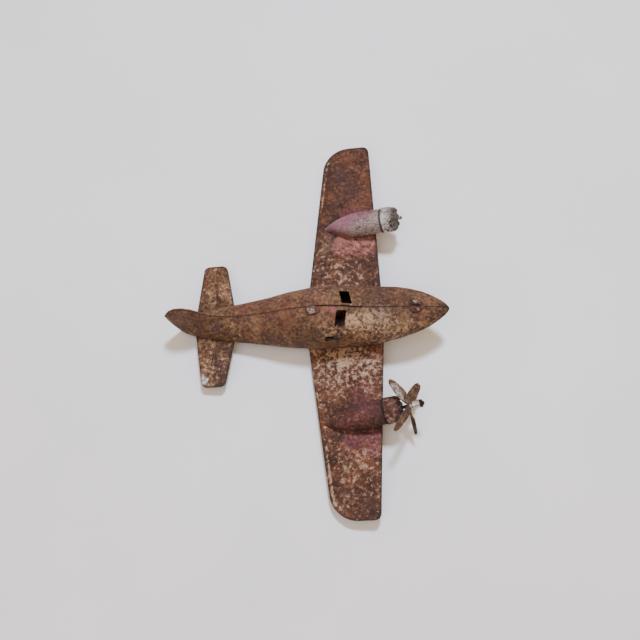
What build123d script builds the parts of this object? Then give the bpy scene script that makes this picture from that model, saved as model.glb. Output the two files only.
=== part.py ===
"""Pressed-steel toy aeroplane: a twin-engined low-wing monoplane with a two-half fuselage.

Everything is drawn level, in millimetres: nose tip at the origin, +X forward, +Y to the
aeroplane's left, +Z up. At the end the whole toy is parked on its wheels and tail.
"""

import os
from math import atan2, cos, degrees, radians, sin, tan

from build123d import *

os.makedirs("parts", exist_ok=True)

# ---------------------------------------------------------------- driving dimensions
SHEET = 0.7  # steel sheet thickness
PLAY = 0.15  # loose fit between sheets that pass through each other
TOUCH = 0.05  # gap between folded sheets that lie on each other

# Fuselage
LENGTH = 171.0  # nose tip to tail end, without the fin's overhang
HALF_WIDTH = 17.6
CROWN = 21.5  # highest point of the cabin roof above the nose tip
BELLY = 14.8  # lowest point of the belly below the nose tip
# station / LENGTH, half width / HALF_WIDTH, crown / CROWN, belly / BELLY, squareness above, below
STATIONS = (
    (0.004, 0.09, 0.05, 0.10, 2.0, 2.0),
    (0.015, 0.22, 0.11, 0.20, 2.0, 2.0),
    (0.035, 0.38, 0.19, 0.34, 2.0, 2.0),
    (0.070, 0.60, 0.28, 0.50, 2.0, 2.0),
    (0.115, 0.77, 0.36, 0.62, 2.0, 2.1),
    (0.175, 0.91, 0.46, 0.78, 2.1, 2.4),
    (0.245, 0.98, 0.55, 0.92, 2.2, 3.4),
    (0.325, 1.00, 0.69, 1.00, 2.4, 4.2),
    (0.375, 1.00, 0.87, 1.00, 2.8, 4.2),
    (0.430, 1.00, 0.99, 1.00, 2.9, 4.2),
    (0.490, 0.99, 1.00, 1.00, 2.6, 4.0),
    (0.580, 0.96, 0.91, 0.92, 2.2, 2.8),
    (0.655, 0.86, 0.72, 0.78, 2.0, 2.3),
    (0.730, 0.74, 0.66, 0.66, 2.0, 2.0),
    (0.800, 0.64, 0.66, 0.57, 2.0, 2.0),
    (0.865, 0.53, 0.62, 0.46, 2.0, 2.0),
    (0.930, 0.38, 0.50, 0.38, 2.0, 2.0),
    (0.970, 0.22, 0.38, 0.29, 2.0, 2.0),
    (0.995, 0.06, 0.20, 0.14, 2.0, 2.0),
)
NOSE_END, TAIL_START = 0.24, 0.84  # where the skin slopes enough to be inset lengthwise too
SECTION_POINTS = 9

# Fin, as (distance aft of the nose tip, height)
FIN_FRONT, FIN_REAR = 132.0, 172.0
FIN_HEIGHT = 32.4
FIN_HALF = 1.1  # half thickness of the closed fin

# Windows: roof window and side window in each half
ROOF_WINDOW_LENGTH = 5.8
ROOF_WINDOW = {"left": (1.8, 10.2), "right": (2.7, 12.4)}  # inner and outer edge, from the seam
ROOF_WINDOW_SLANT = 2.0  # its outer end is this much further aft
SIDE_WINDOW = (9.8, 5.8)  # along X, up Z
SIDE_WINDOW_SILL = 5.0
SIDE_WINDOW_FORWARD = 0.8
WINDOW_X = {"left": -60.4, "right": -63.6}  # the halves were stamped a little out of line

# Seam tabs, folded over from the left half on to the right half
TAB_LENGTH = 8.6
TAB_REACH = {"rear": 5.6, "front": 3.6}
TAB_X = {"rear": -80.0, "front": -19.8}
TAB_ROOT = 2.2
SEAM_GAP = 0.7  # the roof's edges have sprung apart between these two stations
SEAM_GAP_X = (-84.0, -54.0)

# Wing
SPAN = 248.0
WING_TOP = -11.0
WING_LE_ROOT, WING_LE_TIP = -41.5, -47.6
WING_TE_ROOT, WING_TE_TIP = -91.2, -76.2
WING_TIP_FRONT_R, WING_TIP_REAR_R = 4.0, 15.0
WING_RIM = 2.4  # depth of the turned-down edge
BEAD_WIDTH, BEAD_HEIGHT = 1.4, 0.35  # pressed lines on wing and tailplane
WING_BEAD_INSET = 7.5  # bead to trailing edge

# Tailplane
TAIL_SPAN = 80.6
TAIL_TOP = 1.0
TAIL_LE_ROOT, TAIL_LE_TIP = -132.7, -140.3
TAIL_TE_ROOT, TAIL_TE_TIP = -160.3, -154.8
TAIL_TIP_R = 3.0
TAIL_RIM = 1.6

# Engines
ENGINE_Y = 65.5  # tail tip of each nacelle
NACELLE_TAIL_X = {"left": -78.3, "right": -80.8}
RAKE = 10.5  # the nacelle lies on the wing, so its nose points up
TOE_IN = {"left": 1.0, "right": 6.5}
NACELLE_R = 7.8
NACELLE_LENGTH = 40.0
OGIVE_LENGTH = 27.0
COWL_R = 8.1
COWL_LENGTH = 8.5
COWL_GROOVE = 0.5
SPIGOT_LENGTH = 2.5
CYLINDERS = 7
CYLINDER_R = 1.7
CYLINDER_RING_R = 5.3
CYLINDER_HEIGHT = 0.9
BOSS_R, BOSS_HEIGHT = 2.4, 1.4

# Propeller and its pin
PIN_R = 1.1
PIN_HEAD_R, PIN_HEAD_T = 2.2, 0.8
PIN_PLAY = 0.08
PROP_STANDOFF = 5.5  # cowl face to the propeller
PROP_R = 20.6
BLADE_WIDTH = 6.8
HUB_R = 4.0
# angle round the pin, bend forwards and twist: the blades have been bent in play
BLADES = {"up_in": (50, -18, -26), "up_out": (140, -24, -9), "low_out": (230, -8, -26), "low_in": (320, 17, -26)}
SLEEVE_R, SLEEVE_LENGTH = 2.5, 6.4
SLEEVE_GAP = 1.6  # propeller to sleeve
STUB = 2.0  # what is left of the other engine's pin, ahead of its clip groove
NECK_R, NECK = 0.8, 0.5  # the clip groove

# Undercarriage
WHEEL_R, WHEEL_WIDTH = 7.0, 4.6
WHEEL_X = -56.0
WHEEL_Y = {"left": 64.6, "right": 62.3}
AXLE_DROP = 2.6  # axle below the wing's underside
AXLE_R = 1.0
AXLE_PLAY = 0.08
AXLE_HEAD_R, AXLE_HEAD_T = 1.7, 0.6
WHEEL_GAP = 0.6  # wheel face to the bracket's ear
WHEEL_SLOT_END = 0.8
EAR_WIDTH = 6.0
BRACKET_RIM = 2.0

finished = {}


def keep(name, builder):
    """Remembers a finished piece, still level, under the name of its node."""
    finished[name] = builder.part


def side_sign(side):
    """+1 on the aeroplane's left, -1 on its right."""
    return 1 if side == "left" else -1


# ---------------------------------------------------------------- fuselage
def half_body(side, inset=0.0):
    """One half of the fuselage's solid form, its skin moved inwards by inset."""
    sign = side_sign(side)
    with BuildPart() as body:
        for station, width, crown, belly, above, below in STATIONS:
            if inset > 0 and not STATIONS[0][0] < station < STATIONS[-1][0]:
                continue
            lengthwise = -inset if station < NOSE_END else inset if station > TAIL_START else 0.0
            half = width * HALF_WIDTH - inset
            top, bottom = crown * CROWN - inset, belly * BELLY - inset
            points = []
            for step in range(SECTION_POINTS):
                angle = radians(90 - 180 * step / (SECTION_POINTS - 1))
                square, height = (above, top) if step < SECTION_POINTS // 2 else (below, bottom)
                across = half * max(cos(angle), 0.0) ** (2 / square)
                up = height * abs(sin(angle)) ** (2 / square)
                points.append((sign * across, up if sin(angle) >= 0 else -up))
            points[0], points[-1] = (0, top), (0, -bottom)
            with BuildSketch(Plane((lengthwise - station * LENGTH, 0, 0), x_dir=(0, 1, 0), z_dir=(1, 0, 0))):
                with BuildLine():
                    Spline(*points, tangents=((sign, 0), (-sign, 0)))
                    Line(points[-1], points[0])
                make_face()
        loft()
    return body.part


def wing_outline():
    """The wing's plan form, both sides in one, with rounded tips."""
    half = SPAN / 2
    with BuildSketch() as plan:
        with BuildLine():
            Polyline(
                (WING_LE_ROOT, 0), (WING_LE_TIP, half), (WING_TE_TIP, half),
                (WING_TE_ROOT, 0), (WING_TE_TIP, -half), (WING_LE_TIP, -half), close=True,
            )
        make_face()
        tips = plan.vertices().filter_by(lambda v: abs(v.Y) > half / 2)
        fillet(tips.filter_by(lambda v: v.X > -abs(WING_LE_TIP + WING_TE_TIP) / 2), WING_TIP_FRONT_R)
        rear = plan.vertices().filter_by(lambda v: abs(v.Y) > half / 2 and abs(v.X - WING_TE_TIP) < TOUCH)
        fillet(rear, WING_TIP_REAR_R)
    return plan.sketch


def tail_outline():
    """The tailplane's plan form."""
    half = TAIL_SPAN / 2
    with BuildSketch() as plan:
        with BuildLine():
            Polyline(
                (TAIL_LE_ROOT, 0), (TAIL_LE_TIP, half), (TAIL_TE_TIP, half),
                (TAIL_TE_ROOT, 0), (TAIL_TE_TIP, -half), (TAIL_LE_TIP, -half), close=True,
            )
        make_face()
        fillet(plan.vertices().filter_by(lambda v: abs(v.Y) > half / 2), TAIL_TIP_R)
    return plan.sketch


def slot_for(outline, top):
    """The space that a flat sheet of that outline needs where it passes through the fuselage."""
    widened = offset(outline, PLAY, kind=Kind.INTERSECTION)
    with BuildPart() as space:
        with BuildSketch(Plane.XY.offset(top - SHEET - PLAY)):
            add(widened)
        extrude(amount=SHEET + 2 * PLAY)
    return space.part


def fin_plate(side, half_thickness):
    """The fin's flat side: a swept leading edge, a round top and an upright rear edge."""
    with BuildPart() as plate:
        with BuildSketch(Plane((0, 0, 0), x_dir=(1, 0, 0), z_dir=(0, side_sign(side), 0))):
            up = -side_sign(side)  # the sketch's Y points down on the left side
            with BuildLine():
                rise = Spline(
                    (-FIN_FRONT, up * 12.5), (-145.5, up * 18.2), (-155.1, up * 28.8), (-162.5, up * FIN_HEIGHT),
                    tangents=((-1, up * 0.05), (-1, 0)),
                )
                top = Spline(rise @ 1, (-170.2, up * 28.4), (-FIN_REAR - 1.0, up * 22.0), tangents=((-1, 0), (0, -up)))
                back = Line(top @ 1, (-FIN_REAR + 2.6, up * 1.0))
                Polyline(back @ 1, (-FIN_REAR + 14, up * 3.0), (-FIN_FRONT, up * 9.0), rise @ 0)
            make_face()
        extrude(amount=half_thickness)
    return plate.part


def window_cutter(side):
    """Roof window and side window of one half."""
    sign = side_sign(side)
    x = WINDOW_X[side]
    length = ROOF_WINDOW_LENGTH
    inner, outer = (sign * edge for edge in ROOF_WINDOW[side])
    with BuildPart() as cutter:
        with BuildSketch(Plane.XY.offset(CROWN / 3)):
            with BuildLine():
                Polyline(
                    (x + length / 2, inner), (x + length / 2 - ROOF_WINDOW_SLANT, outer),
                    (x - length / 2 - ROOF_WINDOW_SLANT, outer), (x - length / 2, inner), close=True,
                )
            make_face()
        extrude(amount=CROWN)
        sill_x = x - ROOF_WINDOW_SLANT - length + SIDE_WINDOW_FORWARD
        with BuildSketch(Plane((sill_x, sign * HALF_WIDTH / 2, SIDE_WINDOW_SILL + SIDE_WINDOW[1] / 2),
                               x_dir=(1, 0, 0), z_dir=(0, sign, 0))):
            RectangleRounded(*SIDE_WINDOW, 0.8)
        extrude(amount=HALF_WIDTH)
    return cutter.part


def seam_tab(where):
    """A tab of the left half, folded over the seam and flat on the right half."""
    reach, x = TAB_REACH[where], TAB_X[where]
    with BuildPart() as column:
        with BuildSketch():
            with BuildLine():
                root = Line((x + TAB_LENGTH / 2, TAB_ROOT), (x + TAB_LENGTH / 2, 0))
                tip = ThreePointArc(root @ 1, (x, -reach), (x - TAB_LENGTH / 2, 0))
                Polyline(tip @ 1, (x - TAB_LENGTH / 2, TAB_ROOT), root @ 0)
            make_face()
        extrude(amount=2 * CROWN)
    over_right = half_body("right", -SHEET - TOUCH) - half_body("right", -TOUCH)
    over_left = half_body("left", -SHEET - TOUCH) - half_body("left", SHEET / 2)
    return (over_right & column.part) + (over_left & column.part)


wing_plan = wing_outline()
tail_plan = tail_outline()

seam_tabs = [seam_tab(where) for where in TAB_X]

for side in ("left", "right"):
    with BuildPart() as shell:
        add(half_body(side))
        add(fin_plate(side, FIN_HALF))
        add(half_body(side, SHEET), mode=Mode.SUBTRACT)
        add(slot_for(wing_plan, WING_TOP), mode=Mode.SUBTRACT)
        add(slot_for(tail_plan, TAIL_TOP), mode=Mode.SUBTRACT)
        add(window_cutter(side), mode=Mode.SUBTRACT)
        if side == "left":
            add(seam_tabs)
        else:
            with Locations((sum(SEAM_GAP_X) / 2, 0, CROWN)):
                Box(SEAM_GAP_X[1] - SEAM_GAP_X[0], 2 * SEAM_GAP, CROWN, mode=Mode.SUBTRACT)
    keep(f"fuselage_{side}_half", shell)


# ---------------------------------------------------------------- wing and tailplane
def pressed_panel(outline, top, rim, clear_half, bead):
    """A flat sheet with its edge turned down outboard of the fuselage, and one bead on each side."""
    inside_rim = offset(outline, -SHEET)
    with BuildPart() as panel:
        with BuildSketch(Plane.XY.offset(top - SHEET)):
            add(outline)
        extrude(amount=SHEET)
        with BuildSketch(Plane.XY.offset(top - rim)):
            add(outline)
            add(inside_rim, mode=Mode.SUBTRACT)
            Rectangle(2 * LENGTH, 2 * clear_half, align=(Align.MAX, Align.CENTER), mode=Mode.SUBTRACT)
        extrude(amount=rim - SHEET)
        for sign in (1, -1):
            start, end = (Vector(x, sign * y, top) for x, y in bead)
            with BuildSketch(Plane(start, x_dir=(1, 0, 0), z_dir=end - start)):
                Ellipse(BEAD_WIDTH / 2, BEAD_HEIGHT)
            extrude(amount=(end - start).length)
    return panel


def along(root, tip, half, y):
    """Edge position at distance y from the centre line, on a straight edge from root to tip."""
    return root + (tip - root) * y / half


wing_bead = [
    (along(WING_TE_ROOT, WING_TE_TIP, SPAN / 2, y) + WING_BEAD_INSET, y) for y in (HALF_WIDTH + 3, SPAN / 2 - 14)
]
tail_bead = [
    ((along(TAIL_LE_ROOT, TAIL_LE_TIP, TAIL_SPAN / 2, y) + along(TAIL_TE_ROOT, TAIL_TE_TIP, TAIL_SPAN / 2, y)) / 2, y)
    for y in (HALF_WIDTH * 0.9, TAIL_SPAN / 2 - 3)
]

with BuildPart() as wing:
    add(pressed_panel(wing_plan, WING_TOP, WING_RIM, HALF_WIDTH + 1, wing_bead).part)
    for side, wheel_y in WHEEL_Y.items():
        with Locations((WHEEL_X, side_sign(side) * wheel_y, WING_TOP)):
            Box(2 * (WHEEL_R + WHEEL_SLOT_END), WHEEL_WIDTH + 2 * WHEEL_GAP, 2 * WING_RIM, mode=Mode.SUBTRACT)
keep("wing_panel", wing)
keep("tailplane", pressed_panel(tail_plan, TAIL_TOP, TAIL_RIM, HALF_WIDTH * 0.82, tail_bead))


# ---------------------------------------------------------------- engines
def engine_frame(side):
    """Directions forward, left and up of an engine, whose nose is raised and turned inwards."""
    rake, toe = radians(RAKE), radians(TOE_IN[side]) * side_sign(side)
    forward = Vector(cos(rake) * cos(toe), -cos(rake) * sin(toe), sin(rake))
    left = Vector(sin(toe), cos(toe), 0)
    return forward, left, forward.cross(left)


def engine_point(side, distance):
    """A point on an engine's centre line, by its distance ahead of the nacelle's tail tip."""
    tail = Vector(NACELLE_TAIL_X[side], side_sign(side) * ENGINE_Y, WING_TOP)
    return tail + engine_frame(side)[0] * distance


def across_engine(side, distance):
    """Plane square to an engine's centre line: sketches have X to the left and Y up."""
    forward, left, _ = engine_frame(side)
    return Plane(engine_point(side, distance), x_dir=left, z_dir=forward)


def along_engine(side, distance=0.0):
    """Plane through an engine's centre line: sketches have X forward and Y up, for revolving."""
    forward, left, _ = engine_frame(side)
    return Plane(engine_point(side, distance), x_dir=forward, z_dir=-left)


def rod(side, start, radius, length):
    """A cylinder on an engine's centre line."""
    with BuildPart() as piece:
        with BuildSketch(across_engine(side, start)):
            Circle(radius)
        extrude(amount=length)
    return piece.part


COWL_BACK = NACELLE_LENGTH + COWL_GROOVE
COWL_FACE = COWL_BACK + COWL_LENGTH
OGIVE_ARC_R = (OGIVE_LENGTH**2 + NACELLE_R**2) / (2 * NACELLE_R)

for side in ("left", "right"):
    centre_line = Axis(engine_point(side, 0), engine_frame(side)[0])

    with BuildPart() as nacelle:
        for skin, mode in ((0, Mode.ADD), (SHEET, Mode.SUBTRACT)):
            radius = NACELLE_R - skin
            tip = OGIVE_LENGTH - ((OGIVE_ARC_R - skin) ** 2 - (OGIVE_ARC_R - NACELLE_R) ** 2) ** 0.5
            with BuildSketch(along_engine(side)):
                with BuildLine():
                    TangentArc((OGIVE_LENGTH, radius), (tip, 0), tangent=(-1, 0))
                    Polyline((tip, 0), (NACELLE_LENGTH, 0), (NACELLE_LENGTH, radius), (OGIVE_LENGTH, radius))
                make_face()
            revolve(axis=centre_line, mode=mode)
        split(bisect_by=Plane.XY.offset(WING_TOP + BEAD_HEIGHT), keep=Keep.TOP)
    keep(f"nacelle_{side}", nacelle)

    spigot_r = NACELLE_R - SHEET - TOUCH
    with BuildPart() as cowl:
        with BuildSketch(along_engine(side, COWL_BACK)):
            with BuildLine():
                Polyline(
                    (-SPIGOT_LENGTH - COWL_GROOVE, spigot_r - SHEET), (-SPIGOT_LENGTH - COWL_GROOVE, spigot_r),
                    (0, spigot_r), (0, COWL_R), (COWL_LENGTH - 1.6, COWL_R),
                )
                TangentArc((COWL_LENGTH - 1.6, COWL_R), (COWL_LENGTH, COWL_R - 1.6), tangent=(1, 0))
                Polyline(
                    (COWL_LENGTH, COWL_R - 1.6), (COWL_LENGTH, PIN_R), (COWL_LENGTH - SHEET, PIN_R),
                    (COWL_LENGTH - SHEET, COWL_R - 2.0), (COWL_LENGTH - 2.0, COWL_R - SHEET),
                    (SHEET, COWL_R - SHEET), (SHEET, spigot_r - SHEET), (-SPIGOT_LENGTH - COWL_GROOVE, spigot_r - SHEET),
                )
            make_face()
        revolve(axis=centre_line)
        with BuildSketch(across_engine(side, COWL_FACE - SHEET / 2)):
            with PolarLocations(CYLINDER_RING_R, CYLINDERS, start_angle=90):
                SlotOverall(2 * CYLINDER_R + 1.2, 2 * CYLINDER_R)
        extrude(amount=SHEET / 2 + CYLINDER_HEIGHT, taper=18)
        with BuildSketch(across_engine(side, COWL_FACE - SHEET / 2)):
            Circle(BOSS_R)
            Circle(PIN_R, mode=Mode.SUBTRACT)
        extrude(amount=SHEET / 2 + BOSS_HEIGHT)
    keep(f"cowl_{side}", cowl)


# ---------------------------------------------------------------- propeller, right engine only
PROP_BACK = COWL_FACE + PROP_STANDOFF
SLEEVE_BACK = PROP_BACK + SHEET + SLEEVE_GAP
PIN_BACK = COWL_FACE - SHEET - PIN_HEAD_T
# distance from the pin, share of BLADE_WIDTH, share of the blade's twist
BLADE_SECTIONS = ((HUB_R * 0.6, 0.7, 0.0), (HUB_R * 1.5, 0.93, 0.8), (PROP_R * 0.5, 1.0, 1.0),
                  (PROP_R * 0.78, 0.84, 1.0), (PROP_R * 0.94, 0.6, 1.0), (PROP_R, 0.28, 1.0))

prop_frame = across_engine("right", PROP_BACK + SHEET / 2)
with BuildPart() as propeller:
    add(rod("right", PROP_BACK, HUB_R, SHEET))
    for angle, bend, twist in BLADES.values():
        outward = prop_frame.x_dir * cos(radians(angle)) + prop_frame.y_dir * sin(radians(angle))
        chord = prop_frame.z_dir.cross(outward)
        with BuildPart(mode=Mode.PRIVATE) as blade:
            for distance, width, twisted in BLADE_SECTIONS:
                lean = max(distance - HUB_R, 0) * tan(radians(bend))
                turn = radians(twist * twisted)
                place = prop_frame.origin + outward * distance + prop_frame.z_dir * lean
                with BuildSketch(Plane(place, x_dir=chord * cos(turn) + prop_frame.z_dir * sin(turn), z_dir=outward)):
                    Rectangle(width * BLADE_WIDTH, SHEET)
            loft()
        add(blade.part)
    with BuildSketch(across_engine("right", PROP_BACK - SHEET)):
        Circle(PIN_R + PIN_PLAY)
    extrude(amount=3 * SHEET, mode=Mode.SUBTRACT)
keep("propeller", propeller)

with BuildPart() as pin:
    add(rod("right", PIN_BACK, PIN_HEAD_R, PIN_HEAD_T))
    add(rod("right", PIN_BACK, PIN_R, SLEEVE_BACK + SLEEVE_LENGTH + PIN_HEAD_T - PIN_BACK))
keep("propeller_pin", pin)

with BuildPart() as sleeve:
    add(rod("right", SLEEVE_BACK, SLEEVE_R, SLEEVE_LENGTH))
    chamfer(sleeve.edges().filter_by(GeomType.CIRCLE), 0.5)
    with BuildSketch(across_engine("right", SLEEVE_BACK)):
        Circle(PIN_R)
    extrude(amount=SLEEVE_LENGTH, mode=Mode.SUBTRACT)
keep("pin_sleeve", sleeve)

with BuildPart() as stub:
    add(rod("left", PIN_BACK, PIN_HEAD_R, PIN_HEAD_T))
    add(rod("left", PIN_BACK, PIN_R, COWL_FACE + BOSS_HEIGHT - PIN_BACK))
    add(rod("left", COWL_FACE + BOSS_HEIGHT, NECK_R, NECK))
    add(rod("left", COWL_FACE + BOSS_HEIGHT + NECK, PIN_R, STUB))
keep("left_pin_stub", stub)


# ---------------------------------------------------------------- undercarriage
UNDERSIDE = WING_TOP - SHEET
AXLE_Z = UNDERSIDE - AXLE_DROP
EAR_INNER = WHEEL_WIDTH / 2 + WHEEL_GAP
EAR_OUTER = EAR_INNER + SHEET

for side in ("left", "right"):
    wheel_y = side_sign(side) * WHEEL_Y[side]
    hub = (WHEEL_X, wheel_y, AXLE_Z)

    with BuildPart() as wheel:
        with BuildSketch(Plane(hub, x_dir=(1, 0, 0), z_dir=(0, 1, 0))):
            Circle(WHEEL_R)
            Circle(AXLE_R + AXLE_PLAY, mode=Mode.SUBTRACT)
        extrude(amount=WHEEL_WIDTH / 2, both=True)
        rims = wheel.edges().filter_by(GeomType.CIRCLE).filter_by(lambda e: e.radius > WHEEL_R / 2)
        fillet(rims, WHEEL_WIDTH * 0.3)
        for face_sign in (1, -1):
            face = Plane((WHEEL_X, wheel_y + face_sign * WHEEL_WIDTH / 2, AXLE_Z), x_dir=(1, 0, 0), z_dir=(0, face_sign, 0))
            with BuildSketch(face):
                Circle(WHEEL_R * 0.55)
                Circle(WHEEL_R * 0.28, mode=Mode.SUBTRACT)
            extrude(amount=-0.5, mode=Mode.SUBTRACT)
    keep(f"wheel_{side}", wheel)

    with BuildPart() as axle:
        for start, radius, length in (
            (-EAR_OUTER, AXLE_R, 2 * EAR_OUTER),
            (-EAR_OUTER - AXLE_HEAD_T, AXLE_HEAD_R, AXLE_HEAD_T),
            (EAR_OUTER, AXLE_HEAD_R, AXLE_HEAD_T),
        ):
            with BuildSketch(Plane((WHEEL_X, wheel_y + start, AXLE_Z), x_dir=(1, 0, 0), z_dir=(0, 1, 0))):
                Circle(radius)
            extrude(amount=length)
    keep(f"axle_{side}", axle)

    with BuildPart() as bracket:
        with Locations((WHEEL_X, wheel_y, UNDERSIDE - SHEET / 2)):
            Box(2 * (WHEEL_R + WHEEL_SLOT_END + BRACKET_RIM), 2 * (EAR_OUTER + BRACKET_RIM), SHEET)
            Box(2 * (WHEEL_R + WHEEL_SLOT_END), 2 * EAR_INNER, SHEET, mode=Mode.SUBTRACT)
        for ear_sign in (1, -1):
            ear_plane = Plane((WHEEL_X, wheel_y + ear_sign * EAR_INNER, 0), x_dir=(1, 0, 0), z_dir=(0, ear_sign, 0))
            up = -ear_sign
            with BuildSketch(ear_plane):
                with Locations((0, up * (UNDERSIDE + AXLE_Z) / 2)):
                    Rectangle(EAR_WIDTH, AXLE_DROP)
                with Locations((0, up * AXLE_Z)):
                    Circle(EAR_WIDTH / 2)
                with Locations((0, up * (UNDERSIDE + EAR_WIDTH / 2))):
                    Rectangle(2 * EAR_WIDTH, EAR_WIDTH, mode=Mode.SUBTRACT)
                with Locations((0, up * AXLE_Z)):
                    Circle(AXLE_R, mode=Mode.SUBTRACT)
            extrude(amount=SHEET)
    keep(f"gear_bracket_{side}", bracket)


# ---------------------------------------------------------------- park it on wheels and tail
def parked(piece, angle):
    """A piece turned nose up by that angle about the wheels' axle line."""
    return Pos(WHEEL_X, 0, AXLE_Z) * Rot(0, -angle, 0) * Pos(-WHEEL_X, 0, -AXLE_Z) * piece


nose_up = 8.0
for _ in range(6):
    tail_low = parked(finished["fuselage_left_half"], nose_up).bounding_box().min.Z
    nose_up += degrees(atan2(tail_low - (AXLE_Z - WHEEL_R), LENGTH - abs(WHEEL_X)))

everything = Compound(children=[parked(piece, nose_up) for piece in finished.values()])
box = everything.bounding_box()
to_ground = Pos(-(box.min.X + box.max.X) / 2, -(box.min.Y + box.max.Y) / 2, -(AXLE_Z - WHEEL_R))
for name, piece in finished.items():
    piece = to_ground * parked(piece, nose_up)
    piece.label = name
    export_step(piece, f"parts/{name}.step")
print("nose up", round(nose_up, 3), "moved", to_ground.position, "box", box)
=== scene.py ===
"""Looks of a rusty pressed-steel toy aeroplane with two engines, standing on its wheels and tail.

Each piece is drawn level, in millimetres: nose tip at the origin, +X forward, +Y to the
aeroplane's left, +Z up. The matrix "park" then sets it on its wheels, in metres.
"""

from math import acos, cos, exp, pi, radians, sin, sqrt, tan

import bpy
import numpy as np
from mathutils import Matrix, Vector, kdtree, noise


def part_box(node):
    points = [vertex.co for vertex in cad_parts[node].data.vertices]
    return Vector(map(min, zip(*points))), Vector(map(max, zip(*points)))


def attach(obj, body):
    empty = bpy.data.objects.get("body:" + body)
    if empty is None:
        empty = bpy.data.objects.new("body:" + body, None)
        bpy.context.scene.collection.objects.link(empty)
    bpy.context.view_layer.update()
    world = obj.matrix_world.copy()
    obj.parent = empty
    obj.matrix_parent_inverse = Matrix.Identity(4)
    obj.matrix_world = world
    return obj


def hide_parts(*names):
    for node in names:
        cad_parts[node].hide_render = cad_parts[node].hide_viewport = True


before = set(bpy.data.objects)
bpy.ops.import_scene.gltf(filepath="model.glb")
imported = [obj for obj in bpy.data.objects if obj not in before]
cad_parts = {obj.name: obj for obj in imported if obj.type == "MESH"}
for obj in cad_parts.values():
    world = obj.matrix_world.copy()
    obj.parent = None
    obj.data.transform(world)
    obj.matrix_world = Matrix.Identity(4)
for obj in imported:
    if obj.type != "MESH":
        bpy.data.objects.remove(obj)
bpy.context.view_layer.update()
bpy.ops.object.select_all(action="DESELECT")

# ------------------------------------------------------------------ where the toy stands
# The toy rests on two wheels and the tail, so it sits nose up. The wheels' axle line is the
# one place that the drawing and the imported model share.
NOSE_UP = radians(8.669)
AXLE_X, AXLE_Z = -56.0, -14.3
wheel_low, wheel_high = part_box("wheel_left")
axle = Vector(((wheel_low.x + wheel_high.x) / 2, 0, (wheel_low.z + wheel_high.z) / 2))
park = (
    Matrix.Translation(axle)
    @ Matrix.Rotation(-NOSE_UP, 4, "Y")
    @ Matrix.Scale(0.001, 4)
    @ Matrix.Translation((-AXLE_X, 0, -AXLE_Z))
)

# ------------------------------------------------------------------ camera
# A hand-held camera above the right wing, looking down at the cabin roof.
EYE = Vector((17.33, -212.01, 567.76))
RIGHT = Vector((0.98453615, -0.01531646, -0.17451066))
DOWN = Vector((-0.07413412, -0.93900148, -0.33582786))
AHEAD = Vector((-0.15872207, 0.34357187, -0.92561638))
LENS, SENSOR = 55.5, 36.0

level_turn = Matrix((RIGHT, -DOWN, -AHEAD)).transposed()
camera_data = bpy.data.cameras.new("camera")
camera_data.lens, camera_data.sensor_width = LENS, SENSOR
camera = bpy.data.objects.new("camera", camera_data)
camera.matrix_world = Matrix.Translation(park @ EYE) @ (park.to_3x3().normalized() @ level_turn).to_4x4()
bpy.context.scene.collection.objects.link(camera)
bpy.context.scene.camera = camera


# ------------------------------------------------------------------ table and light
# A white sheet of paper or board under a soft daylight, with one nearer lamp on the
# aeroplane's left that throws short warm shadows towards its right.
def linear(hex_colour):
    """An sRGB hex colour as the linear RGBA that shaders use."""
    parts = [int(hex_colour[i : i + 2], 16) / 255 for i in (1, 3, 5)]
    return [c / 12.92 if c <= 0.04045 else ((c + 0.055) / 1.055) ** 2.4 for c in parts] + [1.0]


def feed(tree, made, links):
    """Gives a node's inputs their values, hex colours, or the nodes or sockets that feed them."""
    for name, value in links.items():
        if isinstance(value, bpy.types.Node):
            value = next(output for output in value.outputs if output.enabled)
        if isinstance(value, bpy.types.NodeSocket):
            tree.links.new(value, made.inputs[name])
        else:
            made.inputs[name].default_value = linear(value) if isinstance(value, str) else value


def node(tree, kind, links=None, stops=(), **settings):
    """Adds a shader node with its settings and links; stops are a colour ramp's places and colours."""
    made = tree.nodes.new("ShaderNode" + kind)
    for name, value in settings.items():
        setattr(made, name, value)
    while stops and len(made.color_ramp.elements) < len(stops):
        made.color_ramp.elements.new(0.5)
    for number, (position, colour) in enumerate(stops):
        element = made.color_ramp.elements[number]
        element.position = position
        element.color = linear(colour) if isinstance(colour, str) else (colour, colour, colour, 1)
    feed(tree, made, links or {})
    return made


def new_material(name):
    """An empty node material, its tree and the shader that its surface uses."""
    material = bpy.data.materials.new(name)
    material.use_nodes = True
    tree = material.node_tree
    return material, tree, tree.nodes["Principled BSDF"]


# white coated board: matt, with only a faint unevenness, and tinted a little bluer beyond the lamps,
# where the warm daylight is all that reaches it: painted light that stands in for the lamps' cool light
# there
board, tree, shader = new_material("white coated board")
place = node(tree, "TexCoord").outputs["Object"]
cloud = node(tree, "TexNoise", {"Vector": place, "Scale": 9.0, "Detail": 3.0})
blotch = node(tree, "ValToRGB", {"Fac": cloud}, stops=((0.3, "#eff0f2"), (0.7, "#f7f7f7")))
far_out = node(tree, "VectorMath", {"Vector": place}, operation="LENGTH")
painted_cool_light = node(tree, "ValToRGB", {"Fac": far_out}, stops=((0.5, "#ffffff"), (1.0, "#cfdcff")))
tinted = node(tree, "Mix", {0: 1.0, 6: blotch, 7: painted_cool_light}, data_type="RGBA", blend_type="MULTIPLY")
feed(tree, shader, {"Base Color": tinted, "Roughness": 0.7})

bpy.ops.mesh.primitive_plane_add(size=4.0, location=(0, 0, 0))
floor = bpy.context.object
floor.name = "table"
floor.data.materials.append(board)

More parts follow.
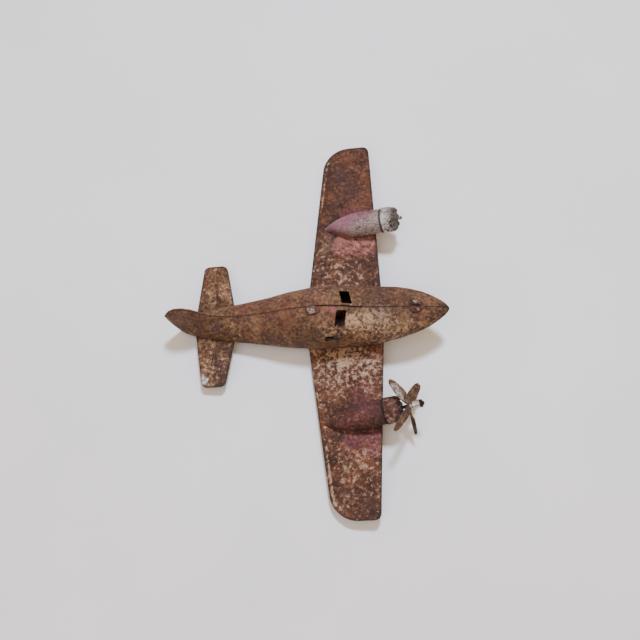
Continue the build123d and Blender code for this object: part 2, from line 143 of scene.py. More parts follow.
world = bpy.data.worlds.new("daylight")
world.use_nodes = True
tree = world.node_tree
up = node(tree, "TexCoord").outputs["Generated"]
height = node(tree, "SeparateXYZ", {"Vector": up}).outputs["Z"]
sky = node(tree, "ValToRGB", {"Fac": height}, stops=((0.2, "#e2e3e4"), (0.5, "#ffce84")))
feed(tree, tree.nodes["Background"], {"Color": sky, "Strength": 0.72})
bpy.context.scene.world = world


def lamp(name, place, size, power, colour):
    """A square lamp that faces the middle of the toy."""
    data = bpy.data.lights.new(name, "AREA")
    data.size, data.energy, data.color = size, power, linear(colour)[:3]
    made = bpy.data.objects.new(name, data)
    made.location = place
    made.rotation_euler = Vector(place).to_track_quat("Z", "Y").to_euler()
    bpy.context.scene.collection.objects.link(made)


lamp("near_lamp", (0.12, 0.42, 1.15), 0.16, 17.6, "#d8e6ff")
lamp("wide_sky", (-0.3, -0.5, 1.3), 1.2, 8.8, "#d8e6ff")


# ------------------------------------------------------------------ rusted, painted pressed steel
# Nearly all of the toy is one finish: pressed sheet steel whose thin cream enamel has worn off
# in specks and gone to brown rust, dull and grainy, with odd patches of a later paint.
RED_RUST = ("#20120c", "#3b2217", "#533223", "#6a4631", "#87674a")
OLIVE_RUST = ("#22150d", "#422b1c", "#61442d", "#7a5a3c", "#997a54")
TARNISH = ("#3a2c24", "#544339", "#6e5f54", "#857970", "#9b9189")
CREAM = ("#96785a", "#c4a380")


def rusted_steel(
    name, paint_cover, patches=(), cover_spots=(), paint=CREAM, tones=RED_RUST, rust_shift=0.0, relief=0.55
):
    """Brown rust with specks of worn enamel. paint_cover is the share of enamel left; patches are
    (centre, radius, colour, strength) and cover_spots are (centre, radius, gain), in level mm.
    Some patches are painted shade, and some cover spots painted highlights and painted light."""
    material, tree, shader = new_material(name)
    place = node(tree, "TexCoord").outputs["Object"]
    stains, mottle, fine_rust, specks, grain, hues = (
        node(
            tree, "TexNoise",
            {
                "Vector": place, "Scale": 1000 / size_mm, "Detail": detail, "Roughness": rough,
                "Distortion": warp,
            },
        )
        for size_mm, detail, rough, warp in (
            (34.0, 3.0, 0.55, 0.0),  # broad stains
            (7.0, 5.0, 0.62, 0.0),  # blotches of rust
            (1.9, 3.0, 0.60, 0.0),  # fine rust
            (2.35, 4.0, 0.66, 0.4),  # worn specks of enamel
            (0.9, 3.0, 0.70, 0.0),  # rust grain, drawn a little coarse so that it shows
            (17.0, 3.0, 0.60, 0.0),  # places of orange and of purple-brown rust
        )
    )

    ragged = 1.1

    def near(centre, radius_mm):
        """1 at a place on the toy, falling to 0 at the radius, with a ragged edge."""
        away = node(tree, "VectorMath", {0: place, 1: park @ Vector(centre)}, operation="DISTANCE")
        links = {0: away, 1: -1000 / radius_mm, 2: 1 - 0.5 * ragged}
        fall = node(tree, "Math", links, operation="MULTIPLY_ADD")
        return node(tree, "Math", {0: specks, 1: ragged, 2: fall}, operation="MULTIPLY_ADD")

    depth = rust_shift - 0.5 * 0.2
    for cloud, weight in ((mottle, 0.38), (fine_rust, 0.62), (stains, 0.2)):
        depth = node(tree, "Math", {0: cloud, 1: weight, 2: depth}, operation="MULTIPLY_ADD")
    rust = node(tree, "ValToRGB", {"Fac": depth}, stops=tuple(zip((0.33, 0.42, 0.50, 0.58, 0.69), tones)))
    orange, purple_brown = ((0.51, 0.0), (0.66, 0.32)), ((0.36, 0.45), (0.48, 0.0))
    for stops, tint in ((orange, "#78412a"), (purple_brown, "#4a3330")):
        share = node(tree, "ValToRGB", {"Fac": hues}, stops=stops)
        rust = node(tree, "Mix", {0: share, 6: rust, 7: tint}, data_type="RGBA")

    left = -0.5 * 0.22
    for cloud, weight in ((specks, 0.8), (mottle, 0.2), (stains, 0.22)):
        left = node(tree, "Math", {0: cloud, 1: weight, 2: left}, operation="MULTIPLY_ADD")
    for centre, radius, gain in cover_spots:
        spot = node(tree, "Math", {0: near(centre, radius), 1: 0.0}, operation="MAXIMUM")
        left = node(tree, "Math", {0: spot, 1: gain * 0.5, 2: left}, operation="MULTIPLY_ADD")
    strip = node(tree, "Attribute", attribute_name="painted_strip").outputs["Fac"]
    left = node(tree, "Math", {0: strip, 1: 0.14, 2: left}, operation="MULTIPLY_ADD")
    edge = 0.66 - 0.3 * paint_cover
    left = node(tree, "ValToRGB", {"Fac": left}, stops=((edge - 0.02, 0.0), (edge + 0.09, 1.0)))
    enamel = node(tree, "ValToRGB", {"Fac": grain}, stops=((0.35, paint[0]), (0.65, paint[1])))
    share = node(tree, "Math", {0: left, 1: 0.82}, operation="MULTIPLY")
    colour = node(tree, "Mix", {0: share, 6: rust, 7: enamel}, data_type="RGBA")

    for centre, radius, tint, strength in patches:
        links = {0: near(centre, radius), 1: 2.2}
        cover = node(tree, "Math", links, operation="MULTIPLY", use_clamp=True)
        cover = node(tree, "Math", {0: cover, 1: strength}, operation="MULTIPLY")
        soaked = node(tree, "ValToRGB", {"Fac": specks}, stops=((0.36, 0.0), (0.60, 1.0)))
        sprayed = node(tree, "Mix", {0: soaked, 6: colour, 7: tint}, data_type="RGBA")
        colour = node(tree, "Mix", {0: cover, 6: colour, 7: sprayed}, data_type="RGBA")

    # dark pits in the grain, darker sharp edges, and darkening where a piece is marked with "rim": painted
    # shade along seams, joints and pressed lines, and plain darkening at edges and cowl faces
    pits = node(tree, "ValToRGB", {"Fac": grain}, stops=((0.30, 0.45), (0.48, 0.0)))
    shape = node(tree, "NewGeometry").outputs["Pointiness"]
    sharp_edge_dark = node(tree, "ValToRGB", {"Fac": shape}, stops=((0.53, 0.0), (0.60, 0.6)))
    rim = node(tree, "Attribute", attribute_name="rim").outputs["Fac"]
    unworn = node(tree, "Math", {0: 1.3, 1: specks}, operation="SUBTRACT")
    shade_and_darkening = node(tree, "Math", {0: rim, 1: unworn}, operation="MULTIPLY", use_clamp=True)
    for share, tint in ((pits, "#1d120d"), (sharp_edge_dark, "#3a2418"), (shade_and_darkening, "#2b1b12")):
        colour = node(tree, "Mix", {0: share, 6: colour, 7: tint}, data_type="RGBA")

    dull = node(tree, "Math", {0: left, 1: -0.42, 2: 0.88}, operation="MULTIPLY_ADD")
    height = 0.0
    for layer, weight in ((grain, 0.5), (specks, 0.6), (left, 0.4)):
        height = node(tree, "Math", {0: layer, 1: weight, 2: height}, operation="MULTIPLY_ADD")
    bump = node(tree, "Bump", {"Height": height, "Strength": relief, "Distance": 0.0004})
    feed(tree, shader, {"Base Color": colour, "Roughness": dull, "Normal": bump})
    feed(tree, shader, {"Specular IOR Level": 0.45})
    return material


# ------------------------------------------------------------------ fuselage halves
# The fuselage is two mirror-image pressings of thin steel that meet along the top and belly,
# with half of the fin on each. The roof's edges have sprung apart behind the windows.
SHEET = 0.7
LENGTH, HALF_WIDTH, CROWN, BELLY = 171.0, 17.6, 21.5, 14.8
# station, half width, crown, belly, squareness above, squareness below, as shares of the sizes above
STATIONS = np.array((
    (0.000, 0.02, 0.02, 0.03, 2.0, 2.0),
    (0.004, 0.10, 0.05, 0.10, 2.0, 2.0),
    (0.015, 0.23, 0.11, 0.20, 2.0, 2.0),
    (0.035, 0.38, 0.19, 0.34, 2.0, 2.0),
    (0.070, 0.60, 0.28, 0.50, 2.0, 2.0),
    (0.115, 0.77, 0.36, 0.62, 2.0, 2.1),
    (0.175, 0.91, 0.46, 0.78, 2.1, 2.4),
    (0.245, 0.98, 0.55, 0.92, 2.2, 3.4),
    (0.325, 1.00, 0.69, 1.00, 2.4, 4.2),
    (0.375, 1.00, 0.87, 1.00, 2.8, 4.2),
    (0.430, 1.00, 0.99, 1.00, 2.9, 4.2),
    (0.490, 0.99, 1.00, 1.00, 2.6, 4.0),
    (0.580, 0.96, 0.91, 0.92, 2.2, 2.8),
    (0.655, 0.86, 0.72, 0.78, 2.0, 2.3),
    (0.730, 0.74, 0.66, 0.66, 2.0, 2.0),
    (0.800, 0.64, 0.66, 0.57, 2.0, 2.0),
    (0.865, 0.53, 0.62, 0.46, 2.0, 2.0),
    (0.930, 0.38, 0.50, 0.38, 2.0, 2.0),
    (0.970, 0.22, 0.38, 0.29, 2.0, 2.0),
    (0.995, 0.06, 0.20, 0.14, 2.0, 2.0),
))
# the fin's top edge and its lower rear edge, as (distance aft of the nose, height)
FIN_END = 172.9
FIN_TOP = (
    (131, 12.8), (138, 15.6), (145.5, 18.4), (151.5, 24.2), (155.5, 29.2), (160, 32.0), (165, 32.2),
    (169, 29.6), (FIN_END, 24.3),
)
FIN_FOOT = ((168.5, -4.0), (170, 1.0), (171.2, 7.0), (172.2, 14.0), (FIN_END, 22.5))
FIN_THICKNESS = ((131, 0.3), (140, 1.3), (150, 1.9), (166, 1.9), (170, 1.5), (172, 0.9), (FIN_END, 0.45))
WING_TOP = -11.0
WING_SLOT = (-91.5, -41.2)
ROOF_WINDOW_LENGTH, ROOF_WINDOW_SLANT = 5.8, 2.0
ROOF_WINDOW = {"left": (1.8, 10.2), "right": (2.7, 12.4)}  # inner and outer edge
SIDE_WINDOW = (9.8, 5.8)
SIDE_WINDOW_SILL = 5.0
WINDOW_X = {"left": -60.4, "right": -63.6}
SIDES = {"left": 1, "right": -1}

stations_mm = np.linspace(0, LENGTH, 343)
smooth_shape = {}
for column, key in enumerate(("half", "crown", "belly", "above", "below"), start=1):
    raw = np.interp(stations_mm / LENGTH, STATIONS[:, 0], STATIONS[:, column])
    window = np.hanning(27) / np.hanning(27).sum()
    soft = np.convolve(np.pad(raw, 13, mode="edge"), window, mode="valid")
    ends = np.clip(np.minimum(stations_mm, LENGTH - stations_mm) / 14, 0, 1)
    smooth_shape[key] = raw * (1 - ends) + soft * ends


def body_at(aft):
    """Half width, crown, belly and the two squarenesses of the fuselage at a distance aft."""
    shape = [np.interp(aft, stations_mm, curve) for curve in smooth_shape.values()]
    half, crown, belly, above, below = shape
    return half * HALF_WIDTH, crown * CROWN, belly * BELLY, above, below


def roof_height(aft, across):
    """Height of the fuselage's upper skin at a distance aft and to one side."""
    half, crown, _, above, _ = body_at(aft)
    return crown * max(0.0, 1 - min(1.0, abs(across) / half) ** above) ** (1 / above)


def swell(value, centre, width):
    """A smooth bump of height 1."""
    return exp(-(((value - centre) / width) ** 2))


def rise(value, start, length):
    """0 up to start, 1 from a length beyond it, and straight between."""
    return min(1.0, max(0.0, (value - start) / length))


def dents(point, size_mm, depth_mm):
    """Small unevenness of hand-worn sheet: how far a point is pushed in or out."""
    return depth_mm * noise.noise(Vector(point) / size_mm)


def half_section(aft, rows):
    """Points of one half's section from belly to crown, evenly spaced along the skin."""
    half, crown, belly, above, below = body_at(min(aft, LENGTH - 0.5))
    top = max(crown, np.interp(aft, *zip(*FIN_TOP)) if aft > FIN_TOP[0][0] else crown)
    foot = max(-belly, np.interp(aft, *zip(*FIN_FOOT)) if aft > FIN_FOOT[0][0] else -belly)
    turn = np.linspace(-pi / 2, pi / 2, 700)
    height = (top + foot) / 2 + (top - foot) / 2 * np.sin(turn)
    over = np.clip(1 - np.clip(height / crown, 0, 1) ** above, 0, 1) ** (1 / above)
    under = np.clip(1 - np.clip(-height / belly, 0, 1) ** below, 0, 1) ** (1 / below)
    across = half * np.where(height >= 0, over, under)
    if aft > FIN_TOP[0][0]:
        fin = np.interp(aft, *zip(*FIN_THICKNESS))
        rounding = np.sqrt(np.clip(1 - ((height - (top - 3.0)) / 3.0).clip(0, 1) ** 2, 0, 1))
        fin_across = fin * rounding * np.clip((height - foot) / 1.5, 0, 1) ** 0.5
        across = np.log(np.exp(across * 1.5) + np.exp(fin_across * 1.5) - 1) / 1.5
        across = np.minimum(across, np.maximum(np.maximum(half, fin), 0.3))
    along = np.concatenate(([0], np.cumsum(np.hypot(np.diff(across), np.diff(height)))))
    steps = np.linspace(0, along[-1], rows)
    return np.interp(steps, along, across), np.interp(steps, along, height)


def drawn_sheet(name, columns, rows, points):
    """A flat blank of sheet, a grid of points, which the press pushes to the given places."""
    bpy.ops.object.select_all(action="DESELECT")
    bpy.ops.mesh.primitive_grid_add(x_subdivisions=columns - 1, y_subdivisions=rows - 1, size=1)
    sheet = bpy.context.object
    sheet.name = sheet.data.name = name
    sheet.data.vertices.foreach_set("co", np.asarray(points, np.float32).reshape(-1))
    sheet.data.update()
    return sheet


def hold(piece):
    """Selects one piece alone, as the one that operators act on."""
    bpy.ops.object.select_all(action="DESELECT")
    piece.select_set(True)
    bpy.context.view_layer.objects.active = piece


def edit(piece, *steps):
    """Runs mesh operators on the whole of a piece, as (operator, settings) pairs."""
    hold(piece)
    bpy.ops.object.mode_set(mode="EDIT")
    bpy.ops.mesh.select_mode(type="VERT")
    bpy.ops.mesh.select_all(action="SELECT")
    for operator, settings in steps:
        operator(**settings)
    bpy.ops.object.mode_set(mode="OBJECT")


def apply_modifier(piece, kind, **settings):
    """Adds a modifier with its settings and applies it."""
    hold(piece)
    modifier = piece.modifiers.new(kind.lower(), kind)
    for name, value in settings.items():
        setattr(modifier, name, value)
    bpy.ops.object.modifier_apply(modifier=modifier.name)


def face_away(piece, inside):
    """Turns a sheet's faces away from a point or a line of points inside it."""
    total = sum((p.normal.dot(p.center - inside(p.center)) * p.area for p in piece.data.polygons))
    if total < 0:
        edit(piece, (bpy.ops.mesh.flip_normals, {}))


def thicken(piece, thickness=SHEET):
    """Gives a sheet its thickness on the inner side, whose faces take the second material."""
    piece.data.materials.append(None)
    piece.data.materials.append(None)
    apply_modifier(
        piece, "SOLIDIFY", thickness=thickness, offset=-1.0, use_even_offset=False, material_offset=1
    )


def cut(piece, cutter):
    """Cuts a closed cutter out of a piece and throws the cutter away."""
    apply_modifier(piece, "BOOLEAN", operation="DIFFERENCE", solver="EXACT", object=cutter)
    bpy.data.objects.remove(cutter)


def block(low, high, lean=(0, 0, 0), rounding=0.6):
    """A cutter with rounded upright edges between two corners; its far Y end leans by lean."""
    bpy.ops.object.select_all(action="DESELECT")
    low, high = Vector(low), Vector(high)
    bpy.ops.mesh.primitive_cube_add(size=1, location=(low + high) / 2, scale=high - low)
    bpy.ops.object.transform_apply(location=True, rotation=True, scale=True)
    cutter = bpy.context.object
    far = max(low.y, high.y, key=abs)
    for vertex in cutter.data.vertices:
        if abs(vertex.co.y - far) < 1e-4:
            vertex.co += Vector(lean)
    if rounding:
        apply_modifier(cutter, "BEVEL", width=rounding, segments=3, limit_method="ANGLE")
    return cutter


def darken(piece, amount):
    """Marks how dark each point of a piece is painted, for the steel's "rim" shade."""
    shade = piece.data.attributes.new("rim", "FLOAT", "POINT")
    shade.data.foreach_set("value", [amount(vertex.co) for vertex in piece.data.vertices])


def finish_piece(piece, body, material, nodes=(), smooth=35, inside=None):
    """Sets a level, millimetre piece on the table in metres and ties it to its CAD body."""
    hold(piece)
    piece.data.transform(park)
    piece.data.update()
    bpy.ops.object.shade_smooth_by_angle(angle=radians(smooth))
    if piece.data.materials:
        piece.data.materials[0] = material
        for inner in range(1, len(piece.data.materials)):
            piece.data.materials[inner] = inside or inside_rust_and_shade
    else:
        piece.data.materials.append(material)
    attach(piece, body)
    if nodes:
        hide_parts(*nodes)


# near-black tones for the inner faces of the pressings: painted shade inside the hollow parts, so that the
# windows look dark, over their bare rust
DARK_RUST_AND_SHADE = ("#0c0806", "#150d09", "#20150e", "#2c1d14", "#3a271c")
inside_rust_and_shade = rusted_steel("bare rust inside the pressings, painted dark as shade", paint_cover=-0.3, tones=DARK_RUST_AND_SHADE)
PINK_SPRAY = "#a6506a"
body_steel = rusted_steel(
    "rusted pressed steel, worn cream enamel, body",
    paint_cover=0.18,
    tones=OLIVE_RUST,
    patches=(
        ((-68.6, -2.2, 21), 3.2, PINK_SPRAY, 0.5), ((-78, 6, 19), 5, PINK_SPRAY, 0.15),
        # the dark rings round the ears at (-81.4, -2.6) and (-19.6, 0.3) are painted shade under their
        # raised edges
        ((-4, 0, 0), 7, "#1c100a", 0.7), ((-81.4, -2.6, 21), 5.4, "#22140d", 0.8),
        ((-19.6, 0.3, 9), 6.2, "#45231a", 0.8), ((-36, 11, 6), 24, "#44291f", 0.75),
        ((-76, -4, 20), 9, "#6d4338", 0.3), ((-104, 9, 10), 26, "#62362a", 0.6),
        ((-162, 0, 24), 14, "#57301f", 0.6), ((-128, 7, 6), 14, "#7a4022", 0.4),
    ),
    # the spots at (-72, -15, 13) and (-40, -5, 13) are painted highlights: the cabin's lit shoulder and the
    # enamel's sheen along the seam
    cover_spots=(
        ((-44, -13, 10), 23, 0.26), ((-42, 7, 12), 7, 0.36), ((-26, -8, 6), 16, 0.10),
        ((-125, -8, 8), 30, 0.08), ((-72, -15, 13), 12, 0.22), ((-57, -9, 15), 6, 0.40),
        ((-40, -5, 13), 13, 0.30), ((-36, 13, 4), 24, -0.24),
    ),
)

FUSELAGE_COLUMNS, FUSELAGE_ROWS = 250, 76
CLOSER_AT_ENDS = 0.25  # share of the columns' spacing that bunches up at nose and tail
# mm: how far the pressed features stand out, and where the shoulder line runs
ROOF_FRAME, SIDE_FRAME, SHOULDER, ROOT_LIP, SEAM_ROLL = 0.32, 0.28, 0.30, 0.55, 0.25
SHOULDER_Y, CABIN_X, CABIN_REACH = 12.2, -76, 26
# mm: the closed seam's half gap, and the stretch behind the windows where it has sprung open
SEAM_GAP, SPRUNG_GAP, SPRUNG_START, SPRUNG_END = 0.08, 0.46, -51, -84
SPRUNG_SHARE = {"left": 0.6, "right": 2.0}
BROAD_DENTS, FINE_DENTS = (26, 0.45), (8, 0.12)  # size and depth, mm
for side, sign in SIDES.items():
    points = []
    aft_places = LENGTH * 0.5 * (1 - np.cos(np.linspace(0, pi, FUSELAGE_COLUMNS))) * CLOSER_AT_ENDS
    aft_places += np.linspace(0, FIN_END, FUSELAGE_COLUMNS) * (1 - CLOSER_AT_ENDS)
    aft_places *= FIN_END / aft_places[-1]
    sections = [half_section(aft, FUSELAGE_ROWS) for aft in aft_places]
    window_x, (inner, outer) = WINDOW_X[side], ROOF_WINDOW[side]
    side_window_x = window_x - ROOF_WINDOW_SLANT - ROOF_WINDOW_LENGTH + 0.8
    for row in range(FUSELAGE_ROWS):
        for aft, (across, height) in zip(aft_places, sections):
            x, y, z = -aft, across[row], height[row]
            out = 0.0
            # pressed frame round the roof window and the shoulder line of the cabin
            slant = ROOF_WINDOW_SLANT * (y - inner) / (outer - inner)
            roof_x = abs(x - window_x + slant) - ROOF_WINDOW_LENGTH / 2
            roof_y = abs(y - (inner + outer) / 2) - (outer - inner) / 2
            if z > 8:
                out += ROOF_FRAME * swell(max(roof_x, roof_y), 0.8, 0.8)
            side_x = abs(x - side_window_x) - SIDE_WINDOW[0] / 2
            side_z = abs(z - SIDE_WINDOW_SILL - SIDE_WINDOW[1] / 2) - SIDE_WINDOW[1] / 2
            if y > 9:
                out += SIDE_FRAME * swell(max(side_x, side_z), 0.8, 0.8)
            cabin = swell(x, CABIN_X, CABIN_REACH)
            out += SHOULDER * cabin * swell(y, SHOULDER_Y, 1.1) * (z > 6)
            # lip along the wing root
            out += ROOT_LIP * swell(z, WING_TOP + 0.7, 0.7) * (WING_SLOT[0] - 1.5 < x < WING_SLOT[1] + 1.2)
            out += dents((x, sign * y, z), *BROAD_DENTS) + dents((x, sign * y, z), *FINE_DENTS)
            lift = 1 if z > 0 else -1
            share = rise(y, 0, 6)
            y += out * share
            z += lift * out * (1 - share) + SEAM_ROLL * lift * swell(y, 0, 1.1) * (aft < 150)
            sprung = SPRUNG_GAP * rise(-x, -SPRUNG_START, 3) * rise(x, SPRUNG_END, 16) * (z > 0)
            gap = SEAM_GAP + sprung * SPRUNG_SHARE[side]
            y = max(y, gap) if row not in (0, FUSELAGE_ROWS - 1) else gap
            points.append((x, sign * y, z))
    half = drawn_sheet(f"fuselage_{side}", FUSELAGE_COLUMNS, FUSELAGE_ROWS, points)
    face_away(half, lambda p: Vector((p.x, 0, 2)))
    edit(half, (bpy.ops.mesh.remove_doubles, {"threshold": 0.02}))
    thicken(half)
    roof_low, roof_high = sorted((sign * inner, sign * outer))
    roof_x = window_x - ROOF_WINDOW_LENGTH / 2
    roof_window = block(
        (roof_x, roof_low, 10),
        (roof_x + ROOF_WINDOW_LENGTH, roof_high, 30),
        lean=(-ROOF_WINDOW_SLANT, 0, 0),
    )
    side_low, side_high = sorted((sign * 12.5, sign * 25))
    side_x = side_window_x - SIDE_WINDOW[0] / 2
    side_window = block(
        (side_x, side_low, SIDE_WINDOW_SILL),
        (side_x + SIDE_WINDOW[0], side_high, SIDE_WINDOW_SILL + SIDE_WINDOW[1]),
    )
    slot_low, slot_high = sorted((-sign * 1, sign * 30))
    wing_slot = block(
        (WING_SLOT[0], slot_low, WING_TOP - SHEET - 0.15),
        (WING_SLOT[1], slot_high, WING_TOP + 0.3),
        rounding=0,
    )
    for opening in (roof_window, side_window, wing_slot):
        cut(half, opening)
    # painted shade along the roof seam, for the dark of its gap
    darken(half, lambda p: 0.7 * swell(p.y, 0, 0.5) * (p.z > 0))
    finish_piece(half, "airframe", body_steel, (f"fuselage_{side}_half",))


# the two seam tabs are ears of the left half, folded over the seam and hammered flat: the rear
# one a dished teardrop worn bright on top, the front one a round boss split by the seam, with two
# painted highlights on its lobes
ear_steel = rusted_steel(
    "rusted steel ear, worn bright, painted highlights on top",
    paint_cover=0.2,
    paint=("#6d5e54", "#a99d92"),
    rust_shift=-0.06,
    cover_spots=(
        # the two spots on the front ear are painted highlights on its lobes; the third is the rear ear worn
        # bright
        ((-19.8, 3.2, 10.2), 2.4, 0.9), ((-18.2, -1.9, 10.2), 1.8, 0.9), ((-81.6, -2.6, 22), 3.4, 0.45),
    ),
)


def rear_ear(share, angle):
    """Reach and height of the teardrop ear, its point towards the nose, its edge raised."""
    reach = 1 + 0.42 * max(0.0, cos(angle)) ** 3 - 0.12 * max(0.0, cos(angle - 1.2))
    return reach, 0.55 + 0.55 * swell(share, 0.80, 0.16) - 0.25 * swell(share, 0.3, 0.3)


def front_ear(share, angle):
    """Reach and height of the round ear: two lobes with the seam's groove between them."""
    lobes = 1.5 * sqrt(max(0.0, 1 - share**2)) * (0.55 + 0.45 * abs(sin(angle)))
    groove = 1.3 * swell(share * sin(angle), -0.08, 0.16)
    return 1 + 0.05 * cos(3 * angle), max(0.25, 0.45 + lobes - groove)


EARS = {"rear": ((-81.4, -2.6), (3.9, 2.9), rear_ear), "front": ((-19.6, 0.3), (4.6, 4.3), front_ear)}
for where, ((ear_x, ear_y), (half_x, half_y), shape) in EARS.items():
    rings, spokes = 26, 73
    points = []
    for spoke in range(spokes):
        angle = 2 * pi * spoke / (spokes - 1)
        for ring in range(rings):
            share = max(ring / (rings - 2), 0.01)
            reach, height = shape(min(share, 1.0), angle)
            wide = min(share, 1.0) * reach
            x, y = ear_x + half_x * wide * cos(angle), ear_y + half_y * wide * sin(angle)
            below = -0.7 if ring == rings - 1 else 0.25 + height + dents((x, y, 3), 2.5, 0.3)
            points.append((x, y, roof_height(-x, y) + below))
    ear = drawn_sheet(f"seam_ear_{where}", rings, spokes, points)
    face_away(ear, lambda p: Vector((p.x, p.y, 0)))
    edit(ear, (bpy.ops.mesh.remove_doubles, {"threshold": 0.04}))
    thicken(ear, 0.5)
    finish_piece(ear, "airframe", ear_steel, smooth=50)


# ------------------------------------------------------------------ wing and tailplane
# Each is one pressing of the same sheet, passed through the fuselage from side to side, with
# its edge turned down and one line pressed in along it; both were painted cream.
def rounded_end(near_tip, radius):
    """How far a rounded corner pulls an edge in, at a distance from the tip."""
    return radius - sqrt(max(0.0, radius**2 - (radius - min(near_tip, radius)) ** 2))


END_ROWS, CHORD_STEPS = 16, 72  # mm at each tip where rows lie closer; points along the chord
LINE_RAISE, LINE_SINK = 0.62, 0.40


def pressed_panel(name, half_span, front, back, corners, top, rim, line_places, dent):
    """A flat panel: front and back are edge positions at root and tip, corners their radii."""
    spans = np.sort(np.concatenate((
        np.linspace(-half_span + END_ROWS, half_span - END_ROWS, int(half_span * 1.3)),
        [s * (half_span - END_ROWS * (1 - sin(a))) for s in (1, -1) for a in np.linspace(0.02, pi / 2, 22)],
    )))
    points = []
    for y in spans:
        out = abs(y) / half_span
        near_tip = half_span - abs(y)
        lead = front[0] + (front[1] - front[0]) * out - rounded_end(near_tip, corners[0])
        trail = back[0] + (back[1] - back[0]) * out + rounded_end(near_tip, corners[1])
        for step in range(CHORD_STEPS):
            x = trail + (lead - trail) * step / (CHORD_STEPS - 1)
            z = top + dents((x, y, 0), 22, dent) + dents((x, y, 5), 7, dent * 0.25)
            for line_x, line_y, tip_stop in line_places:
                centre = line_x(trail, lead, out)
                z += LINE_RAISE * swell(x, centre, 0.75) * (line_y < abs(y) < tip_stop)
                z -= LINE_SINK * swell(x, centre + 1.5, 0.7) * (line_y < abs(y) < tip_stop)
            points.append((x, y, z))
    grid = np.array(points).reshape(len(spans), CHORD_STEPS, 3)
    path = np.concatenate((grid[:, 0], grid[-1], grid[::-1, -1], grid[0, ::-1]))
    outline = kdtree.KDTree(4 * len(path))
    for place, (start, end) in enumerate(zip(path, np.roll(path, -1, axis=0))):
        for quarter in range(4):
            spot = start + (end - start) * quarter / 4
            outline.insert((spot[0], spot[1], 0), 4 * place + quarter)
    outline.balance()
    lines = kdtree.KDTree(4 * len(spans) * len(line_places))
    for place, (line_x, line_y, tip_stop) in enumerate(line_places):
        for step, y in enumerate(np.linspace(-tip_stop, tip_stop, 4 * len(spans))):
            out = abs(y) / half_span
            ends = [edge[0] + (edge[1] - edge[0]) * out for edge in (back, front)]
            if out * half_span > line_y:
                lines.insert((line_x(*ends, out), y, 0), 4 * len(spans) * place + step)
    lines.balance()
    panel = drawn_sheet(name, CHORD_STEPS, len(spans), points)
    face_away(panel, lambda p: Vector((p.x, p.y, top - 5)))
    rim_from_edge(panel, rim)
    return panel, outline, lines


def mark_lines(panel, outline, lines):
    """Marks the edge and the pressed line to be darkened, the line's groove as painted shade, and the strip
    of paint between them.
    """
    places = [(vertex.co.x, vertex.co.y, 0) for vertex in panel.data.vertices]
    for name, value in (
        ("rim", lambda edge, line: swell(edge, 0.0, 0.9) + 0.75 * swell(line, 0.0, 0.75)),
        ("painted_strip", lambda edge, line: swell(edge, 2.0, 0.9) * swell(line, 1.8, 1.2)),
    ):
        marks = panel.data.attributes.new(name, "FLOAT", "POINT").data
        for place, mark in zip(places, marks):
            mark.value = min(1.0, value(outline.find(place)[2], lines.find(place)[2]))


def rim_from_edge(panel, rim):
    """Turns a panel's open edge down, rounds the bend and gives the sheet its thickness."""
    hold(panel)
    bpy.ops.object.mode_set(mode="EDIT")
    bpy.ops.mesh.select_mode(type="EDGE")
    bpy.ops.mesh.select_all(action="SELECT")
    bpy.ops.mesh.region_to_loop()
    bpy.ops.mesh.extrude_edges_move(TRANSFORM_OT_translate={"value": (0, 0, -rim)})
    bpy.ops.object.mode_set(mode="OBJECT")
    apply_modifier(panel, "BEVEL", width=0.8, segments=3, limit_method="ANGLE", angle_limit=radians(50))
    thicken(panel)


under_rust = rusted_steel("bare rust under the wings", paint_cover=-0.1, rust_shift=-0.08)
wing_steel = rusted_steel(
    "rusted pressed steel, worn cream enamel, wing",
    paint_cover=0.27,
    rust_shift=-0.03,
    patches=(
        ((-64, 53, WING_TOP), 10, "#ab7068", 0.7),
        ((-52, 52, WING_TOP), 9, "#ab7068", 0.75),
        ((-74, 55, WING_TOP), 7, "#a98a7c", 0.25),
        ((-60, 75, WING_TOP), 8, "#8c4a54", 0.3),
        ((-56, -48, WING_TOP), 11, "#85434a", 0.3),
        ((-50, -78, WING_TOP), 10, "#8a4856", 0.6),
        ((-64, -77, WING_TOP), 7, "#8a4856", 0.5),
        ((-44, -20, WING_TOP), 7, "#7a3f28", 0.6),
    ),
    cover_spots=(
        # the spot at (-68, -20) adds enamel at the right wing root and is also painted light, lifting the
        # fuselage's cast shadow there
        ((-68, -28, WING_TOP), 34, 0.16), ((-68, -20, WING_TOP), 14, 0.16),
        ((-60, -104, WING_TOP), 34, 0.06), ((-66, 30, WING_TOP), 22, 0.04),
        ((-60, 100, WING_TOP), 36, -0.20), ((-60, -60, WING_TOP), 18, -0.22),
        ((-62, 66, WING_TOP), 20, -0.10),
    ),
)
SEMI_SPAN = 124.0
wing, *drawn_lines = pressed_panel(
    "wing", SEMI_SPAN, (-41.5, -47.6), (-91.2, -76.2), (4.0, 15.0), WING_TOP, 2.4,
    ((lambda trail, lead, out: trail + 3.9, 80, 112),), 0.30,
)
WHEEL_WELL = 7.8  # half its length
for side in SIDES:
    low, high = (park.inverted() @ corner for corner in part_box(f"wheel_{side}"))
    well_low = (AXLE_X - WHEEL_WELL, low.y - 0.6, WING_TOP - 4)
    well_high = (AXLE_X + WHEEL_WELL, high.y + 0.6, WING_TOP + 4)
    cut(wing, block(well_low, well_high, rounding=0))
mark_lines(wing, *drawn_lines)
finish_piece(wing, "airframe", wing_steel, ("wing_panel",), inside=under_rust)

